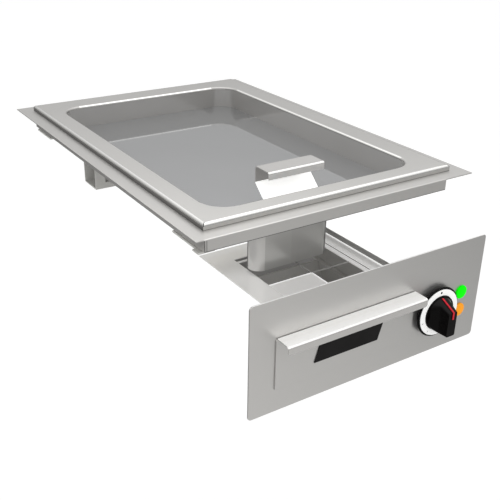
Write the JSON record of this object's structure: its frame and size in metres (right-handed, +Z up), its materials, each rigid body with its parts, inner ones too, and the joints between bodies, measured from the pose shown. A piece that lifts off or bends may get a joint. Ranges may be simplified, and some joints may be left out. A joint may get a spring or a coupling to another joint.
{
  "type": "built-in induction griddle",
  "caption": "Recessed rectangular griddle pan in a flat worktop flange, with a drain plug and chute above a grease drawer in a separate front panel with a rotary control and lamps.",
  "frame": {"origin": "on the underside of the worktop flange, halfway along its front strip, where it rests on the worktop", "axes": "+X to the right as seen from the front, +Y to the back, +Z up"},
  "size_m": [0.4448, 0.6026, 0.2642],
  "materials": {
    "brushed_sheet": "fine brushed stainless steel sheet",
    "inner_sheet": "plain mill-finish steel sheet",
    "griddle_steel": "polished cooking plate, nearly mirror bright",
    "small_steel": "plain turned steel",
    "ferrite": "matt dark sintered ferrite",
    "coil_winding": "varnished copper litz winding",
    "insulation": "pale mineral fibre board",
    "terminal_plastic": "matt pale moulded plastic",
    "black_plastic": "semi-gloss black moulded plastic",
    "white_plastic": "matt white printed ring",
    "red_plastic": "red inlay",
    "green_lens": "translucent green lens",
    "orange_lens": "translucent orange lens"
  },
  "bodies": {
    "griddle_unit": {"top_frame": "brushed_sheet", "skirt_left": "brushed_sheet", "skirt_right": "brushed_sheet", "skirt_rear": "brushed_sheet", "clamp_front_left": "inner_sheet", "clamp_front_right": "inner_sheet", "clamp_rear_left": "inner_sheet", "clamp_rear_right": "inner_sheet", "griddle_plate": "griddle_steel", "drain_chute": "brushed_sheet", "insulation_sheet": "insulation", "coil_carrier": "inner_sheet", "carrier_bolt_front_left": "small_steel", "carrier_bolt_front_right": "small_steel", "carrier_bolt_rear_left": "small_steel", "carrier_bolt_rear_right": "small_steel", "induction_coil_front": "coil_winding", "induction_coil_rear": "coil_winding", "ferrite_front_1": "ferrite", "ferrite_front_2": "ferrite", "ferrite_front_3": "ferrite", "ferrite_front_4": "ferrite", "ferrite_rear_1": "ferrite", "ferrite_rear_2": "ferrite", "ferrite_rear_3": "ferrite", "ferrite_rear_4": "ferrite", "plate_sensor": "small_steel", "terminal_block": "terminal_plastic", "rear_channel": "inner_sheet", "front_channel": "inner_sheet", "front_panel": "brushed_sheet", "lower_cover": "brushed_sheet", "drip_deflector": "brushed_sheet", "drawer_runner_left": "inner_sheet", "drawer_runner_right": "inner_sheet", "housing_rear": "inner_sheet", "hanger_bracket": "inner_sheet", "knob_bezel": "black_plastic", "dial_ring": "white_plastic", "potentiometer": "small_steel", "pot_nut": "small_steel", "lamp_lens_green": "green_lens", "lamp_lens_orange": "orange_lens", "lamp_body_green": "black_plastic", "lamp_body_orange": "black_plastic"},
    "grease_drawer": {"drawer_front": "brushed_sheet", "drawer_handle": "brushed_sheet", "grease_tray": "brushed_sheet", "blank_plate": "black_plastic"},
    "control_knob_body": {"control_knob": "black_plastic", "knob_pointer": "red_plastic", "pot_shaft": "small_steel"},
    "drain_plug_body": {"drain_plug": "brushed_sheet"}
  },
  "joints": [
    {"name": "drawer_slide", "type": "slide", "parent": "griddle_unit", "child": "grease_drawer", "axis": [0, -1, 0], "range_m": [0, 0.1]},
    {"name": "knob_turn", "type": "hinge", "parent": "griddle_unit", "child": "control_knob_body", "pos_m": [0.162, -0.0215, -0.186], "axis": [0, 1, 0], "range_deg": [0, 270]},
    {"name": "plug_lift", "type": "slide", "parent": "griddle_unit", "child": "drain_plug_body", "axis": [0, 0, 1], "range_m": [0, 0.06]}
  ]
}
